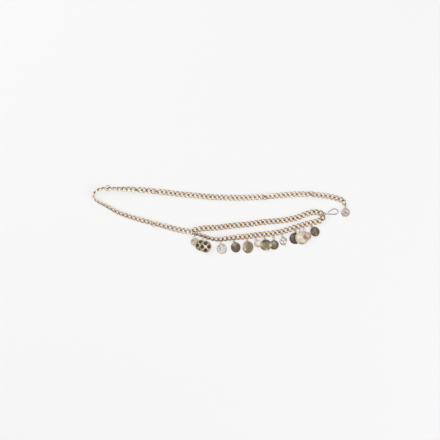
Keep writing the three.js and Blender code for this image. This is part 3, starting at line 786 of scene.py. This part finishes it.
def hoop(shape, radius, wire, matrix=Matrix()):
    ring = torus(radius, wire, max(16, int(radius * 8)), 8)
    add_copy(shape, ring, matrix @ Matrix.Translation((0, 0, FIELD)))
    ring.free()


def beaded_border(shape, radius, size=0.26):
    count = int(2 * pi * radius / (size * 2.7))
    for _, matrix in round_about(count, radius):
        relief(shape, bead, matrix, size=size)


def sprig(shape, radius):
    hoop(shape, radius * 0.74, 0.14)
    stem = Matrix.Translation((0, 0, FIELD)) @ Matrix.Rotation(pi / 2, 4, "Z")
    relief(shape, leaf, stem, length=radius * 1.1, width=0.35)
    for step in range(5):
        along = radius * (-0.4 + 0.2 * step)
        for side in (-1, 1):
            seat = Matrix.Translation((side * radius * 0.17, along, FIELD))
            seat @= Matrix.Rotation(side * radians(-48) + (pi if side < 0 else 0), 4, "Z")
            relief(shape, leaf, seat, length=radius * 0.34, width=radius * 0.14)


def wreath(shape, radius):
    beaded_border(shape, radius * 0.8, 0.22)
    for turn, matrix in round_about(20, radius * 0.58):
        side = 1 if round(turn / (pi / 10)) % 2 else -1
        seat = matrix @ Matrix.Rotation(pi / 2 + side * radians(24), 4, "Z")
        relief(shape, leaf, seat, length=radius * 0.27, width=radius * 0.11)
    seat = Matrix.Translation((0, 0, FIELD + STRUCK * 0.4))
    relief(shape, star, seat, points=8, radius=radius * 0.34, inner=0.5)
    relief(shape, bead, Matrix.Translation((0, 0, FIELD + STRUCK * 0.8)), size=radius * 0.07)


def sun(shape, radius):
    beaded_border(shape, radius * 0.8, 0.22)
    for turn, matrix in round_about(16, radius * 0.52):
        long_ray = round(turn / (pi / 8)) % 2 == 0
        relief(shape, leaf, matrix, length=radius * (0.38 if long_ray else 0.24),
               width=radius * 0.09)
    relief(shape, pad, Matrix.Translation((0, 0, FIELD + STRUCK * 0.4)), corners=24,
           radius=radius * 0.27, top=radius * 0.2)
    for _, matrix in round_about(7, radius * 0.12):
        lifted = Matrix.Translation((0, 0, STRUCK * 0.85)) @ matrix
        relief(shape, bead, lifted, size=radius * 0.04)


def old(shape, radius):
    beaded_border(shape, radius * 0.84, 0.3)
    for turn, matrix in round_about(3, radius * 0.2, pi / 2):
        relief(shape, leaf, matrix, length=radius * 0.5, width=radius * 0.24)
    for turn, matrix in round_about(3, radius * 0.36, -pi / 2):
        relief(shape, leaf, matrix, length=radius * 0.42, width=radius * 0.1)
    hoop(shape, radius * 0.66, 0.16)


def star_face(shape, radius):
    beaded_border(shape, radius * 0.78, 0.2)
    seat = Matrix.Translation((0, 0, FIELD + STRUCK * 0.45)) @ Matrix.Rotation(pi / 2, 4, "Z")
    relief(shape, star, seat, points=6, radius=radius * 0.6, inner=0.46, height=STRUCK * 1.3)
    for _, matrix in round_about(6, radius * 0.52, 0):
        relief(shape, bead, matrix, size=radius * 0.055)


def wheel(shape, radius):
    hoop(shape, radius * 0.78, 0.16)
    hoop(shape, radius * 0.3, 0.2)
    for _, matrix in round_about(8, radius * 0.53, pi / 8):
        relief(shape, leaf, matrix, length=radius * 0.42, width=radius * 0.15)
    for _, matrix in round_about(8, radius * 0.62):
        relief(shape, bead, matrix, size=radius * 0.05)
    relief(shape, bead, Matrix.Translation((0, 0, FIELD)), size=radius * 0.13)


def rosette(shape, radius):
    beaded_border(shape, radius * 0.8, 0.22)
    for _, matrix in round_about(8, radius * 0.4):
        relief(shape, leaf, matrix, length=radius * 0.42, width=radius * 0.24)
    for _, matrix in round_about(8, radius * 0.6, pi / 8):
        relief(shape, leaf, matrix, length=radius * 0.18, width=radius * 0.09)
    relief(shape, bead, Matrix.Translation((0, 0, FIELD)), size=radius * 0.15)


def quatrefoil(shape, radius, upright):
    hoop(shape, radius * 0.86, 0.15)
    relief(shape, pad, Matrix.Translation((0, 0, FIELD + STRUCK * 0.45))
           @ Matrix.Rotation(pi / 4 + upright, 4, "Z"), corners=4, radius=radius * 0.32,
           top=radius * 0.24, height=STRUCK * 1.3)
    for _, matrix in round_about(4, radius * 0.7, pi / 4 + upright):
        relief(shape, bead, matrix, size=radius * 0.09)


RELIEFS = {"sprig": sprig, "wreath": wreath, "sun": sun, "old": old, "star": star_face,
           "wheel": wheel, "rosette": rosette}


def rim_width(radius):
    return min(0.95, radius * 0.13)


def struck_disc(radius):
    """A disc with a rounded edge and a raised rim on both faces; only the front has rings."""
    half = COIN_THICKNESS / 2
    inner = radius - rim_width(radius)
    rings = 7
    field = tuple(((inner - 0.25) * i / rings, FIELD) for i in range(rings + 1))
    edge = ((inner, half - 0.04), (inner + 0.15, half), (radius - 0.2, half),
            (radius - 0.03, half - 0.12), (radius, half - 0.3))
    back = (field[0], field[-1]) + edge
    profile = field + edge + tuple((r, -z) for r, z in reversed(back))
    disc = start_mesh()
    knots = [disc.verts.new((r, 0, z)) for r, z in profile]
    edges = [disc.edges.new(pair) for pair in zip(knots, knots[1:])]
    bmesh.ops.spin(disc, geom=knots + edges, cent=(0, 0, 0), axis=(0, 0, 1), dvec=(0, 0, 0),
                   angle=2 * pi, steps=COIN_STEPS, use_merge=True, use_duplicate=False)
    bmesh.ops.remove_doubles(disc, verts=list(disc.verts), dist=1e-4)
    bmesh.ops.recalc_face_normals(disc, faces=list(disc.faces))
    return disc


def openwork(radius):
    """A ring with a beaded edge, and a trefoil of wire inside it."""
    shape = start_mesh()
    band = torus(radius - 0.68, 0.68, 64, 10)
    shape_points(band, lambda p: Vector((p.x, p.y, p.z * 1.1)))
    add_copy(shape, band, Matrix())
    band.free()
    inner = radius - 1.1
    for _, matrix in round_about(3, inner * 0.5, pi / 2):
        hoop(shape, inner * 0.46, 0.46, Matrix.Translation((0, 0, -FIELD)) @ matrix
             @ Matrix.Translation((0, 0, -FIELD)))
    for _, matrix in round_about(3, inner * 0.78, -pi / 2):
        relief(shape, leaf, Matrix.Translation((0, 0, -FIELD)) @ matrix, length=inner * 0.6,
               width=1.1, height=0.46)
    count = int(2 * pi * radius / 0.85)
    for _, matrix in round_about(count, radius - 0.62):
        relief(shape, bead, matrix, size=0.24)
    return shape


def stain(shape, coin, upright):
    """Paints patina into the low places, and each coin's marks: painted sheen where bright, painted
    shade and tarnish where dark.
    """
    radius = coin["radius"]
    inner = radius - rim_width(radius)
    painted_shade_and_patina = shape.verts.layers.float["painted_shade_and_patina"]
    painted_sheen = shape.verts.layers.float["painted_sheen"]
    for vertex in shape.verts:
        reach = math.hypot(vertex.co.x, vertex.co.y)
        low = vertex.co.z < FIELD + 0.05
        field_darkness = 0.25 if reach < inner * 0.9 else 0.75
        vertex[painted_shade_and_patina] = field_darkness if low and reach < inner + 0.05 else 0.08
        if coin["relief"] == "openwork" and reach < inner:
            vertex[painted_shade_and_patina] = 0.95
        if coin["relief"] == "quatrefoil" and reach > inner * 0.8:
            vertex[painted_shade_and_patina] = max(vertex[painted_shade_and_patina], 0.45)
    # Painted sheen in the bright marks, painted shade and tarnish in the dark ones.
    for mark in COIN_MARKS:
        if mark["coin"] != coin["name"]:
            continue
        spot = Matrix.Rotation(upright, 3, "Z") @ Vector((mark["x"], mark["y"], 0))
        chosen = painted_sheen if mark["light"] > 0 else painted_shade_and_patina
        for vertex in shape.verts:
            away = math.hypot(vertex.co.x / radius - spot.x, vertex.co.y / radius - spot.y)
            share = clamp(1 - (away / mark["size"]) ** 2, 0, 1) * abs(mark["light"])
            vertex[chosen] = clamp(vertex[chosen] + share, 0, 1)


def scale_round(shape, factor):
    """Draws a shape in or out by a factor that changes round Z."""
    for vertex in shape.verts:
        share = factor(math.atan2(vertex.co.y, vertex.co.x))
        vertex.co.x *= share
        vertex.co.y *= share


def loop_shape(drop):
    """The coin's loop, stretched by the drop, with its wire's section a little tall."""
    loop = torus(GUIDE, LOOP["wire"], 32, 10)
    reach = LOOP["hole"] + LOOP["wire"]

    def stretch(point):
        turn = math.atan2(point.y, point.x)
        outward = math.hypot(point.x, point.y) - GUIDE
        return Vector(((reach + outward) * cos(turn), (reach + drop / 2 + outward) * sin(turn),
                       point.z * 1.25))

    # Painted shade and patina on the inner side of the loop.
    shade(loop, lambda p: 0.5 * (GUIDE - math.hypot(p.x, p.y)) / LOOP["wire"])
    shape_points(loop, stretch)
    return loop


def collar_shape():
    collar = start_mesh()
    bmesh.ops.create_cone(collar, cap_ends=True, cap_tris=False, segments=20,
                          radius1=COLLAR["wide"], radius2=COLLAR["narrow"],
                          depth=COLLAR["height"], matrix=Matrix.Rotation(-pi / 2, 4, "X"))
    bmesh.ops.bevel(collar, geom=list(collar.edges), offset=COLLAR["bevel"], segments=2,
                    profile=0.5, affect="EDGES", material=-1)
    return collar


def coin_middle(coin):
    """How far the coin's middle hangs below the middle of its ring's wire."""
    return coin["radius"] + COIN_TO_HOLE + SEAT + coin["drop"]


def coin_shape(coin, upright):
    """A coin hung at the origin; its marks and its lobes stand upright, whichever way it hangs."""
    radius = coin["radius"]
    if coin["relief"] == "openwork":
        shape = openwork(radius)
    else:
        shape = struck_disc(radius)
        if coin["relief"] == "quatrefoil":
            quatrefoil(shape, radius, upright)
        else:
            RELIEFS[coin["relief"]](shape, radius)
    stain(shape, coin, upright)
    if coin["relief"] == "old":
        scale_round(shape, lambda turn: 1 + 0.022 * sin(3 * turn + 0.7)
                    + 0.014 * sin(7 * turn + 2.1))
    if coin["name"] == "end_coin":
        scale_round(shape, lambda turn: 1 - 0.02 * (1 - cos(9 * turn)))
    across, tall = coin["narrow"], 2 - coin["narrow"]
    middle = coin_middle(coin)
    seat = Matrix.Translation((0, -middle, 0)) @ Matrix.Diagonal((across, tall, 1, 1))
    bmesh.ops.transform(shape, matrix=seat, verts=list(shape.verts))
    loop = loop_shape(coin["drop"])
    add_copy(shape, loop, Matrix.Translation((0, -SEAT - coin["drop"] / 2, 0)))
    loop.free()
    if coin["drop"] > COLLAR_FROM:
        collar = collar_shape()
        seat = Matrix.Translation((0, -middle + radius * tall + COLLAR["rise"], 0))
        add_copy(shape, collar, seat @ Matrix.Diagonal((1, 1, COLLAR["flat"], 1)))
        collar.free()
    return shape


def lobes_shape(coin, upright):
    """Four dark domes let into the field, round the square middle."""
    radius = coin["radius"]
    shape = start_mesh()
    for _, matrix in round_about(4, radius * 0.56, upright):
        relief(shape, leaf, matrix, length=radius * 0.66, width=radius * 0.76, height=0.34)
    bmesh.ops.transform(shape, matrix=Matrix.Translation((0, -coin_middle(coin), 0)),
                        verts=list(shape.verts))
    return shape


def hang(coin, ring_middle, outward):
    name = coin["name"]
    axis = outward.cross(UP)
    body = f"{name}_body"
    plate = "steel" if coin is END_COIN else "rose_gold"
    place_ring(f"{name}_ring", JUMP_RING, basis(outward, UP, axis, ring_middle), plate, body,
               gap_at=140)
    angle = radians(coin["angle"])
    wire = ring_middle + (outward * cos(angle) + UP * sin(angle)) * JUMP_RING["radius"]
    reach = coin_middle(coin)
    target = Vector((coin["x"], coin["y"], 0)) - CENTRE - wire
    lean = clamp(math.asin(clamp(target.dot(axis) / reach, -1, 1)), -MOST_LEAN, MOST_LEAN)
    length = reach * cos(lean) + coin["radius"]
    pitch = math.asin((wire.z - COIN_THICKNESS / 2 - coin["lift"] - CLEAR) / length)
    along = outward * cos(pitch) - UP * sin(pitch)
    normal = axis.cross(along)
    hung = basis(-axis, -along, normal, wire) @ Matrix.Rotation(-lean, 4, "Z")
    upright = -math.atan2(hung[1][0], hung[0][0])
    shape = coin_shape(coin, upright)
    bmesh.ops.transform(shape, matrix=hung, verts=list(shape.verts))
    make_piece(f"{name}_struck", shape, coin["finish"], body, (name,))
    if coin["relief"] == "quatrefoil":
        lobes = lobes_shape(coin, upright)
        bmesh.ops.transform(lobes, matrix=hung, verts=list(lobes.verts))
        make_piece(f"{name}_lobes", lobes, "lobe_dark", body)


def side_wire(laid):
    across = Vector((laid[0][0], laid[1][0], 0)).normalized()
    outward = across.cross(UP)
    sides = [laid @ Vector((0, side * LINK["half_width"], 0)) for side in (-1, 1)]
    return max(sides, key=lambda point: point.dot(outward)), outward


def ring_height(wire):
    return max(wire.z, JUMP_RING["radius"] + JUMP_HALF_WIRE + CLEAR)


swag_links = [laid for run in swag_runs for laid in run]
stacks = {}
for coin in COINS:
    wire, outward = side_wire(swag_links[coin["link"]])
    stacks.setdefault(coin["stack"] or coin["name"], []).append((coin, wire, outward))

for members in stacks.values():
    first, last = members[0][1], members[-1][1]
    middle = (first + last) / 2
    outward = members[0][2]
    if len(members) > 1:
        across = last - first
        across.z = 0
        outward = across.normalized().cross(UP)
    height = max(ring_height(wire) for _, wire, _ in members)
    for coin, wire, _ in members:
        spot = wire + outward * ((middle - wire).dot(outward) + SEAT)
        spot.z = height
        hang(coin, spot, outward)

last_link = waist_runs[0][0]
endward = -Vector((last_link[0][0], last_link[1][0], 0)).normalized()
end_bar = last_link @ Vector((-LINK["half_length"], 0, 0)) + endward * END_SEAT
end_bar.z = ring_height(end_bar)
hang(END_COIN, end_bar, Matrix.Rotation(END_TURN, 3, "Z") @ endward)
LINK_SHAPE.free()

# ---- Floor, light and camera ------------------------------------------------------------------

FLOOR_DROP, FLOOR_HALF = 0.0003, 4.0
PAPER_GREY, PAPER_GLOW = 0.3, 0.62  # a lit table, so shadows are faint
ROOM_LIGHT = 0.3
VIEW_WIDTH = 0.792  # what the picture takes in from side to side, at the belt
LENS, SENSOR = 85.0, 36.0
PICTURE_MIDDLE = Vector((-1.8, -1.8, 0)) - CENTRE

floor_shape = bmesh.new()
bmesh.ops.create_grid(floor_shape, x_segments=1, y_segments=1, size=FLOOR_HALF,
                      matrix=Matrix.Translation((0, 0, -FLOOR_DROP)))
floor_mesh = bpy.data.meshes.new("floor")
floor_shape.to_mesh(floor_mesh)
floor_shape.free()
floor = bpy.data.objects.new("floor", floor_mesh)
bpy.context.scene.collection.objects.link(floor)
paper = bpy.data.materials.new("pale_floor")
paper.use_nodes = True
sheet = paper.node_tree.nodes["Principled BSDF"]
sheet.inputs["Base Color"].default_value = (PAPER_GREY, PAPER_GREY, PAPER_GREY, 1)
sheet.inputs["Roughness"].default_value = 1.0
sheet.inputs["Specular IOR Level"].default_value = 0.0
sheet.inputs["Emission Color"].default_value = (1, 1, 1, 1)
sheet.inputs["Emission Strength"].default_value = PAPER_GLOW
floor_mesh.materials.append(paper)

# Lights: place, size and power in watts, all aimed at the middle of the belt.
LIGHTS = (("overhead", (0.0, 0.1, 2.6), 3.0, 30.0),
          ("window", (-1.9, 1.3, 1.5), 1.4, 34.0),
          ("fill", (1.9, -1.0, 1.4), 1.4, 26.0))
for label, where, size, power in LIGHTS:
    lamp = bpy.data.lights.new(label, "AREA")
    lamp.shape = "SQUARE"
    lamp.size = size
    lamp.energy = power
    lit = bpy.data.objects.new(label, lamp)
    lit.location = where
    lit.rotation_euler = Vector(where).to_track_quat("Z", "Y").to_euler()
    bpy.context.scene.collection.objects.link(lit)

world = bpy.data.worlds.new("studio")
world.use_nodes = True
world.node_tree.nodes["Background"].inputs["Color"].default_value = (1, 1, 1, 1)
world.node_tree.nodes["Background"].inputs["Strength"].default_value = ROOM_LIGHT
bpy.context.scene.world = world

camera_data = bpy.data.cameras.new("camera")
camera_data.lens = LENS
camera_data.sensor_width = SENSOR
camera = bpy.data.objects.new("camera", camera_data)
camera.location = (PICTURE_MIDDLE.x * MM, PICTURE_MIDDLE.y * MM, VIEW_WIDTH * LENS / SENSOR)
bpy.context.scene.collection.objects.link(camera)
bpy.context.scene.camera = camera
bpy.context.scene.view_settings.view_transform = "Standard"
